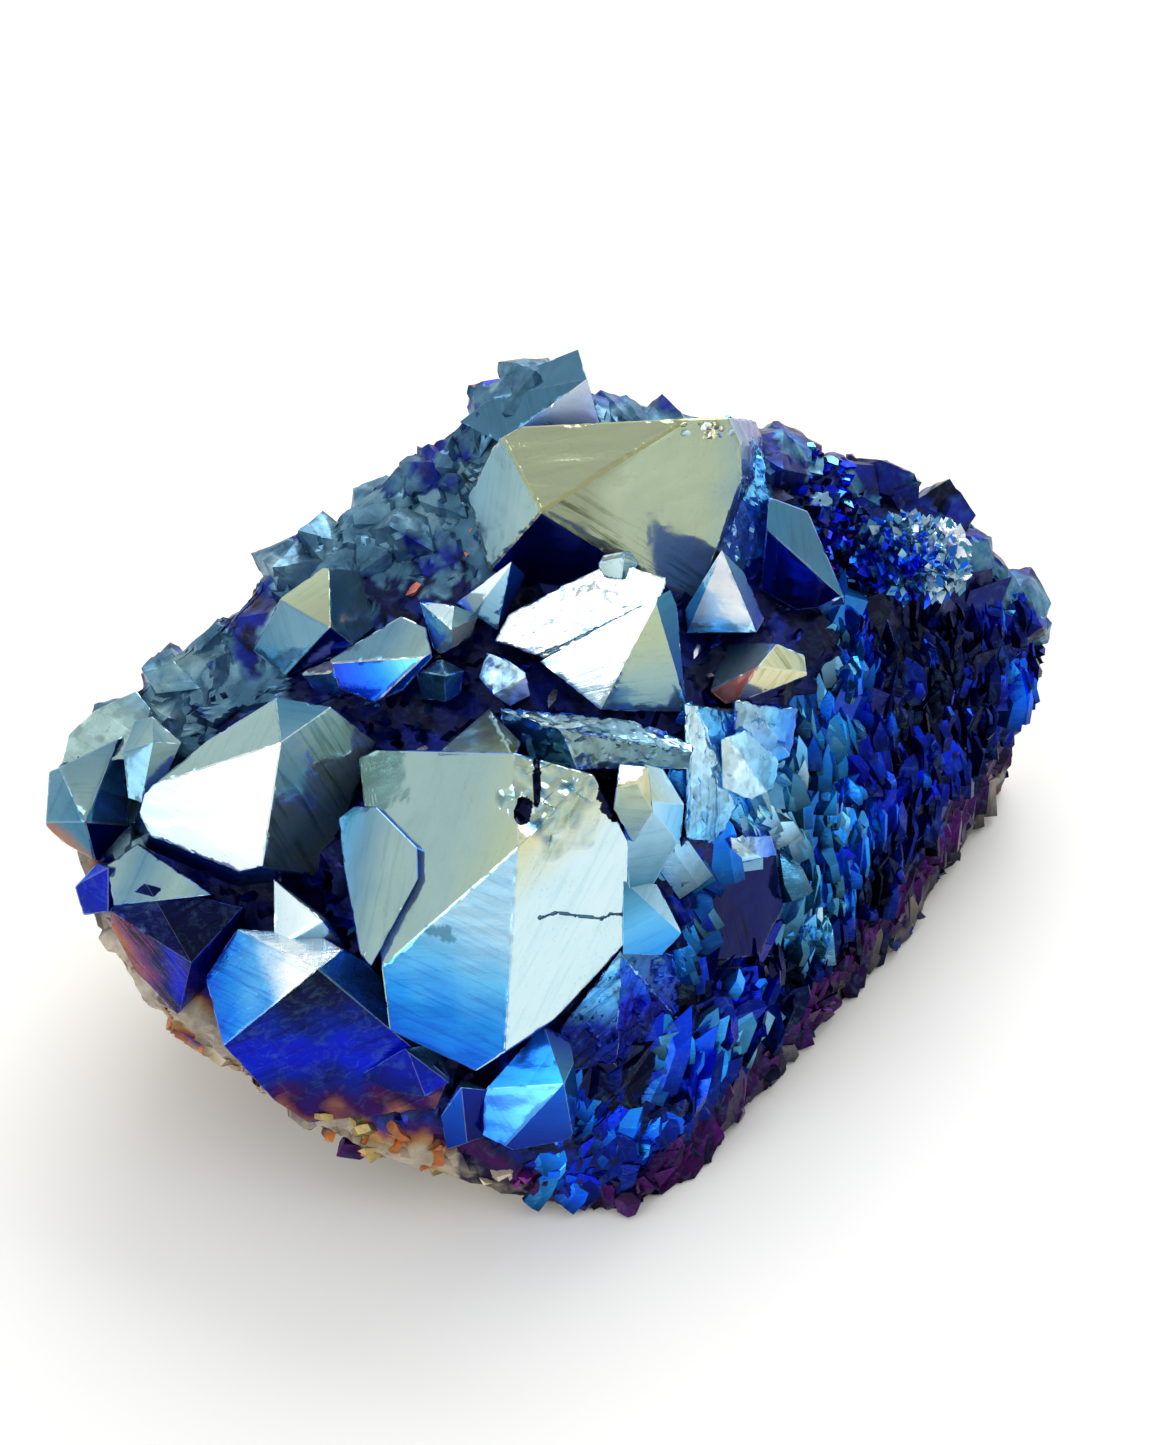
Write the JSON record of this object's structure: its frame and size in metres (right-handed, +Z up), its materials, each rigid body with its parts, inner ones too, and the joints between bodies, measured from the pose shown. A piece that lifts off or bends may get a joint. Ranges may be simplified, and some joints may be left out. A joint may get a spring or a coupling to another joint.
{
  "type": "aura quartz cluster",
  "caption": "Broken hand specimen of grown-together quartz crystals on rough rock, with a blue metallic titanium coat, resting on a flat cut.",
  "frame": {"origin": "bottom centre of the specimen's box, on the surface that it rests on", "axes": "+Z up, +X to the right; the bed of crystals faces -Y and leans back 45 degrees"},
  "size_m": [0.1033, 0.0762, 0.0617],
  "materials": {
    "titanium_coated_quartz": "glossy metallic film on quartz, pale green on the thickest coat, blue to violet and straw where it thins, bare grey-beige rock underneath"
  },
  "bodies": {
    "root": {"quartz_cluster": "titanium_coated_quartz"}
  },
  "joints": []
}
